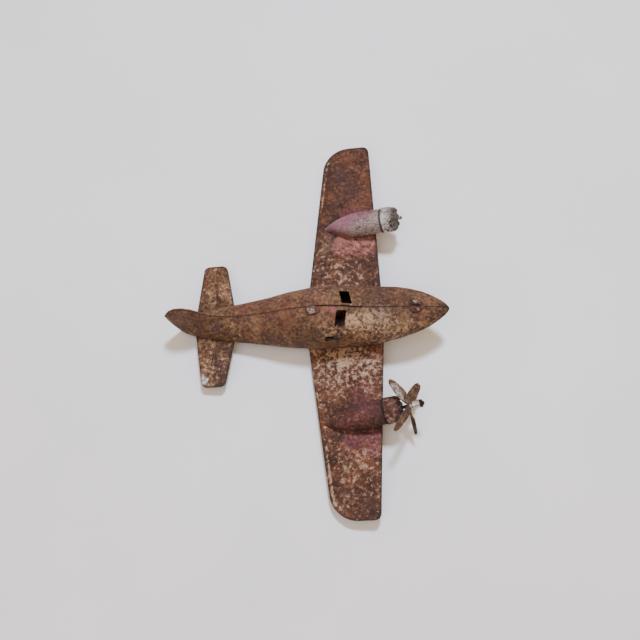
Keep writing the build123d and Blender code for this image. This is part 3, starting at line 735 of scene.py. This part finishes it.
tail_steel = rusted_steel(
    "rusted pressed steel, worn cream enamel, tailplane",
    paint_cover=0.24,
    rust_shift=-0.02,
    patches=(((-156, -37, 1), 5.5, "#d3d2cd", 1.2), ((-134, 22, 1), 5, "#d3d2cd", 0.4)),
    tones=OLIVE_RUST,
    cover_spots=(((-146, 24, 1), 12, 0.06), ((-146, -26, 1), 14, 0.18)),
)
TAIL_TOP = 1.0
tailplane, *drawn_lines = pressed_panel(
    "tailplane", 40.3, (-132.7, -140.3), (-160.3, -154.8), (3.0, 3.0), TAIL_TOP, 1.6,
    ((lambda trail, lead, out: (trail + lead) / 2 + 1.0, 12, 37),), 0.22,
)
mark_lines(tailplane, *drawn_lines)
finish_piece(tailplane, "airframe", tail_steel, ("tailplane",), inside=under_rust)


# ------------------------------------------------------------------ engine nacelles
# Half-open teardrops of pressed steel whose lower edges stand on the wing, noses raised. The left
# one is silver with a later pink overspray; the right one has gone to rust and purple.
ENGINE_Y = 65.5
NACELLE_TAIL_X = {"left": -78.3, "right": -80.8}
RAKE = radians(10.5)
TOE_IN = {"left": radians(1.0), "right": radians(6.5)}
NACELLE_R, NACELLE_LENGTH, OGIVE_LENGTH = 7.8, 40.0, 27.0
FOOT_LIP, END_ROLL = 0.45, 0.25
OGIVE_ARC = (OGIVE_LENGTH**2 + NACELLE_R**2) / (2 * NACELLE_R)


def engine_matrix(side):
    """Places a piece drawn with Z along the engine, X to the left and Y up, origin at its tail tip."""
    sign, toe = SIDES[side], TOE_IN[side] * SIDES[side]
    ahead = Vector((cos(RAKE) * cos(toe), -cos(RAKE) * sin(toe), sin(RAKE)))
    left = Vector((sin(toe), cos(toe), 0))
    turn = Matrix((left, ahead.cross(left), ahead)).transposed().to_4x4()
    return Matrix.Translation((NACELLE_TAIL_X[side], sign * ENGINE_Y, WING_TOP)) @ turn


def nacelle_radius(along):
    """Radius of the teardrop at a distance from its tail tip."""
    if along >= OGIVE_LENGTH:
        return NACELLE_R
    return sqrt(OGIVE_ARC**2 - (OGIVE_LENGTH - along) ** 2) - (OGIVE_ARC - NACELLE_R)


nacelle_steel = {
    "left": rusted_steel(
        "silver enamel on pressed steel, pink overspray",
        paint_cover=0.84,
        paint=("#7a6c68", "#b3a4a0"),
        tones=TARNISH,
        relief=0.3,
        patches=(
            ((-68, 71, -5), 14, "#6e3248", 1.3), ((-54, 73, 0), 14, "#6e3248", 1.3),
            ((-64, 67, -2), 10, "#9a6072", 0.6),
        ),
    ),
    "right": rusted_steel(
        "rusted pressed steel, purple overspray",
        paint_cover=0.16,
        rust_shift=-0.09,
        patches=(
            ((-56, -60, 0), 12, "#7f3f4a", 0.3), ((-66, -70, -6), 8, "#8c4656", 0.35),
            ((-46, -58, 4), 9, "#7d3a44", 0.2),
        ),
    ),
}
for side in SIDES:
    lengths, arcs = 110, 84
    points = []
    for step in range(lengths):
        along = 0.02 + (NACELLE_LENGTH - 0.02) * (step / (lengths - 1)) ** 1.3
        radius = nacelle_radius(along)
        to_wing = (0.05 - along * sin(RAKE)) / (radius * cos(RAKE))
        reach = acos(min(1.0, max(-1.0, to_wing)))
        for arc in range(arcs):
            angle = reach * (2 * arc / (arcs - 1) - 1)
            x, y = sin(angle), cos(angle)
            foot = FOOT_LIP * swell(abs(angle), reach, 0.09) * (along > 5)
            worn = dents((x * 8, y * 8, along + 50 * len(side)), 11, 0.45) * rise(along, 0, 8)
            end_roll = END_ROLL * swell(along, NACELLE_LENGTH, 0.6)
            grown = radius + worn + end_roll
            points.append(((grown + foot) * x, grown * y, along))
    nacelle = drawn_sheet(f"nacelle_{side}", arcs, lengths, points)
    face_away(nacelle, lambda p: Vector((0, 0, p.z)))
    edit(nacelle, (bpy.ops.mesh.remove_doubles, {"threshold": 0.01}))
    thicken(nacelle, 0.6)
    # painted shade round the front end, where the cowl fits over it
    darken(nacelle, lambda p: swell(p.z, NACELLE_LENGTH, 0.8))
    nacelle.data.transform(engine_matrix(side))
    finish_piece(nacelle, "airframe", nacelle_steel[side], (f"nacelle_{side}",))


# ------------------------------------------------------------------ engine cowls
# Deep-drawn cups pushed on to the nacelles: seven cylinder heads are embossed round the face
# and scallop its rim, with a boss for the propeller pin in the middle.
COWL_LENGTH, COWL_BACK, CYLINDERS = 8.5, 40.5, 7
HEAD_CIRCLE, HEAD_REACH, FIN_PITCH, FIN_HEIGHT = 5.6, 1.9, 0.9, 0.12
SCALLOP = 0.105  # share of the radius that the rim draws in between two heads
# (distance ahead of the cowl's back edge, radius), from the pin hole outwards and back
COWL_PROFILE = np.array((
    (9.80, 1.12), (9.85, 1.7), (9.6, 2.2), (8.75, 2.55), (8.45, 3.0), (8.45, 4.2), (8.42, 5.4),
    (8.3, 6.4), (8.0, 7.2), (7.4, 7.8), (6.6, 8.05), (5.0, 8.1), (3.0, 8.1), (1.2, 8.1), (0.6, 8.25),
    (0.1, 8.2), (-0.1, 7.8), (0.0, 7.1), (-0.5, 7.0), (-1.8, 7.0), (-3.0, 7.0),
))
cowl_steel = {
    "left": rusted_steel(
        "silver enamel on drawn steel",
        paint_cover=0.86,
        paint=("#968e86", "#f0eeea"),
        tones=TARNISH,
        relief=0.3,
        patches=(
            ((-27.0, 64.6, -1.5), 12.0, "#38261b", 1.6), ((-26.2, 64.6, -1.5), 11.0, "#33231a", 1.6),
            ((-36, 72.5, 2), 5, "#75644f", 0.7),
        ),
    ),
    "right": rusted_steel(
        "rusted drawn steel",
        paint_cover=0.32,
        paint=("#936e62", "#c4a196"),
        rust_shift=-0.05,
        patches=(((-34, -60, 4), 8, "#7d4540", 0.4),),
        cover_spots=(((-36, -68, 5), 6, 0.3),),
    ),
}
FACE_DARKENING = {"left": 0.75, "right": 0.35}
profile_steps = np.concatenate(([0], np.cumsum(np.hypot(*np.diff(COWL_PROFILE, axis=0).T))))
fine_steps = np.linspace(0, profile_steps[-1], 92)
fine_profile = np.column_stack([np.interp(fine_steps, profile_steps, COWL_PROFILE[:, k]) for k in (0, 1)])
for side in SIDES:
    arcs = 141
    points = []
    for ahead, radius in fine_profile:
        for arc in range(arcs):
            angle = 2 * pi * arc / (arcs - 1)
            lobe = 0.5 + 0.5 * cos(CYLINDERS * (angle - pi / 2))
            on_rim = rise(ahead, 4.2, 2.6) * rise(radius, 5.2, 1.6)
            on_face = rise(ahead, 7.0, 1.0)
            head = swell(radius, HEAD_CIRCLE, HEAD_REACH) * lobe**0.8 * on_face
            fin_lines = FIN_HEIGHT * cos(radius * 2 * pi / FIN_PITCH) * head
            grown = radius * (1 - SCALLOP * on_rim * (1 - lobe) ** 1.6)
            worn = dents((sin(angle) * 8, cos(angle) * 8, ahead + 31 * len(side)), 6, 0.22)
            grown += worn * rise(radius, 0, 4)
            points.append((grown * sin(angle), grown * cos(angle), COWL_BACK + ahead + head + fin_lines))
    cowl = drawn_sheet(f"cowl_{side}", arcs, len(fine_profile), points)
    edit(cowl, (bpy.ops.mesh.remove_doubles, {"threshold": 0.005}))
    face_away(cowl, lambda p: Vector((0, 0, COWL_BACK + 3)))
    thicken(cowl, 0.5)
    # painted shade round the back edge, where the cowl meets the nacelle, and plain darkening on the face,
    # more on the left cowl
    darken(cowl, lambda p: swell(p.z, COWL_BACK, 0.7) + FACE_DARKENING[side] * rise(p.z, COWL_BACK + 6.3, 1.3))
    cowl.data.transform(engine_matrix(side))
    finish_piece(cowl, "airframe", cowl_steel[side], (f"cowl_{side}",), smooth=45)


# ------------------------------------------------------------------ propeller
# One stamping with four bent, twisted blades that turns freely on a pin. Handling has polished
# off most of its paint, and left grey-white paint at one tip.
COWL_FACE = COWL_BACK + COWL_LENGTH
PROP_BACK = COWL_FACE + 5.5
BLADE_ROOT, CAMBER = 2.4, 0.35
PROP_R, HUB_R, PROP_SHEET = 20.6, 4.0, 0.8
# angle round the pin, bend forwards, twist
BLADES = {
    "up_in": (50, -18, -26), "up_out": (140, -24, -9),
    "low_out": (230, -8, -26), "low_in": (320, 17, -26),
}
# (distance from the pin, width)
BLADE_WIDTH = (
    (BLADE_ROOT, 4.6), (5.0, 6.0), (8.0, 6.7), (11.0, 6.7), (15.5, 5.7), (18.5, 4.5), (20.0, 3.0),
    (PROP_R, 0.9),
)


def on_blade(which, far, over):
    """A place on a blade, in level mm, by its distance from the pin and across the chord."""
    angle, bend, twist = (radians(value) for value in BLADES[which])
    left, up = far * cos(angle) - over * sin(angle), far * sin(angle) + over * cos(angle)
    ahead = PROP_BACK + (far - HUB_R) * tan(bend) + over * sin(twist)
    return engine_matrix("right") @ Vector((left, up, ahead))


blade_steel = rusted_steel(
    "stamped steel, dull brown",
    paint_cover=0.16,
    paint=("#7b6656", "#a08f7f"),
    rust_shift=-0.02,
    tones=OLIVE_RUST,
    patches=(
        (on_blade("up_in", 9.5, 2.4), 4.5, "#b5ada6", 1.1),
        (on_blade("up_in", 14.0, 2.0), 5.0, "#b5ada6", 1.2),
    ),
)


def joined(main, other):
    """Welds another closed piece on to the main one."""
    apply_modifier(main, "BOOLEAN", operation="UNION", solver="EXACT", object=other)
    bpy.data.objects.remove(other)


hub_points = []
for radius in np.linspace(1.18, HUB_R, 12):
    for arc in range(65):
        angle = 2 * pi * arc / 64
        height = PROP_SHEET / 2 + 0.35 * swell(radius, 0, 2.6)
        hub_points.append((radius * cos(angle), radius * sin(angle), height))
propeller = drawn_sheet("propeller", 65, 12, hub_points)
edit(propeller, (bpy.ops.mesh.remove_doubles, {"threshold": 0.005}))
face_away(propeller, lambda p: Vector((0, 0, -5)))
thicken(propeller, PROP_SHEET)
for angle_deg, bend_deg, twist_deg in BLADES.values():
    lengths, chords = 46, 15
    angle, bend = radians(angle_deg), radians(bend_deg)
    outward, chord_way = Vector((cos(angle), sin(angle), 0)), Vector((-sin(angle), cos(angle), 0))
    points = []
    for step in range(lengths):
        far = BLADE_ROOT + (PROP_R - BLADE_ROOT) * (1 - (1 - step / (lengths - 1)) ** 1.5)
        width = np.interp(far, *zip(*BLADE_WIDTH))
        turn = radians(twist_deg) * rise(far, 3.4, 4.5)
        curl = max(far - HUB_R, 0)
        lean = curl * tan(bend) * (0.75 + 0.25 * curl / (PROP_R - HUB_R))
        for chord in range(chords):
            share = 2 * chord / (chords - 1) - 1
            over = share * width / 2
            camber = -CAMBER * (1 - share**2) * (far > 5)
            camber += dents((far, over, angle_deg), 7, 0.3) * rise(curl, 0, 4)
            spot = outward * far + chord_way * over * cos(turn)
            points.append((spot.x, spot.y, lean + over * sin(turn) + camber + PROP_SHEET / 2))
    blade = drawn_sheet("blade", chords, lengths, points)
    face_away(blade, lambda p: p - Vector((0, 0, 1)))
    thicken(blade, PROP_SHEET * 0.85)
    joined(propeller, blade)
propeller.data.transform(engine_matrix("right") @ Matrix.Translation((0, 0, PROP_BACK)))
finish_piece(
    propeller, "propeller", blade_steel, ("propeller",), smooth=40, inside=blade_steel
)


# ------------------------------------------------------------------ pins, sleeve, axles, brackets, wheels
# Plain turned and bent parts keep their shapes: the bright sleeve on the end of the propeller pin
# is turned metal, the pins and axles are worn and dull drawn steel, the brackets rusted steel, and the
# wheels dark painted wood.
def metal(name, colour, roughness, grain_mm, bright_between=None):
    """Turned or drawn metal with fine streaks and dull spots. It may be bright only between two
    distances along the right engine, and painted dark outside them: painted shade on the pin
    behind the propeller and at the sleeve's ends."""
    material, tree, shader = new_material(name)
    place = node(tree, "TexCoord").outputs["Object"]
    spots = node(tree, "TexNoise", {"Vector": place, "Scale": 1000 / grain_mm, "Detail": 4.0})
    tint = node(tree, "ValToRGB", {"Fac": spots}, stops=((0.35, colour[0]), (0.62, colour[1])))
    if bright_between:
        engine = park @ engine_matrix("right")
        axis = engine.to_3x3().col[2].normalized()
        low, high = (axis.dot(engine @ Vector((0, 0, along))) for along in bright_between)
        along = node(tree, "VectorMath", {0: place, 1: axis}, operation="DOT_PRODUCT")
        share = node(tree, "MapRange", {"Value": along, "From Min": low, "From Max": high})
        # painted shade outside the bright span
        ends = ((0.0, 1.0), (0.03, 0.0), (0.96, 0.0), (1.0, 1.0))
        dark = node(tree, "ValToRGB", {"Fac": share}, stops=ends)
        tint = node(tree, "Mix", {0: dark, 6: tint, 7: "#35312d"}, data_type="RGBA")
    rough = node(tree, "MapRange", {"Value": spots, "To Min": roughness + 0.15, "To Max": roughness})
    bump = node(tree, "Bump", {"Height": spots, "Strength": 0.3, "Distance": 0.0002})
    feed(tree, shader, {"Base Color": tint, "Metallic": 1.0, "Roughness": rough, "Normal": bump})
    return material


BRIGHT_PIN = (PROP_BACK + 0.5, PROP_BACK + 7.2)
bright = metal("bright turned metal", ("#a8a8a6", "#e2e3e3"), 0.32, 3.0, bright_between=BRIGHT_PIN)
worn_pin = metal("worn steel propeller pin", ("#8b857e", "#cfccc7"), 0.4, 1.2, bright_between=BRIGHT_PIN)
pin_steel = metal("dull drawn steel pin", ("#6b625a", "#b4afa8"), 0.45, 1.2)
bracket_steel = rusted_steel("rusted bent steel strip", paint_cover=0.05)
wheel_wood, tree, shader = new_material("turned wood, dark paint")
place = node(tree, "TexCoord").outputs["Object"]
worn = node(tree, "TexNoise", {"Vector": place, "Scale": 1000 / 2.5, "Detail": 5.0})
paint_tones = ((0.42, "#1b1613"), (0.60, "#2e2520"), (0.68, "#6b4d33"))
paint = node(tree, "ValToRGB", {"Fac": worn}, stops=paint_tones)
bump = node(tree, "Bump", {"Height": worn, "Strength": 0.3, "Distance": 0.0003})
feed(tree, shader, {"Base Color": paint, "Roughness": 0.6, "Normal": bump})

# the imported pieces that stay, each with its finish
KEPT = {
    "pin_sleeve": bright, "propeller_pin": worn_pin, "left_pin_stub": pin_steel,
    "axle_left": pin_steel, "axle_right": pin_steel,
    "gear_bracket_left": bracket_steel, "gear_bracket_right": bracket_steel,
    "wheel_left": wheel_wood, "wheel_right": wheel_wood,
}
for name, material in KEPT.items():
    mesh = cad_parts[name].data
    mesh.materials.clear()
    mesh.materials.append(material)
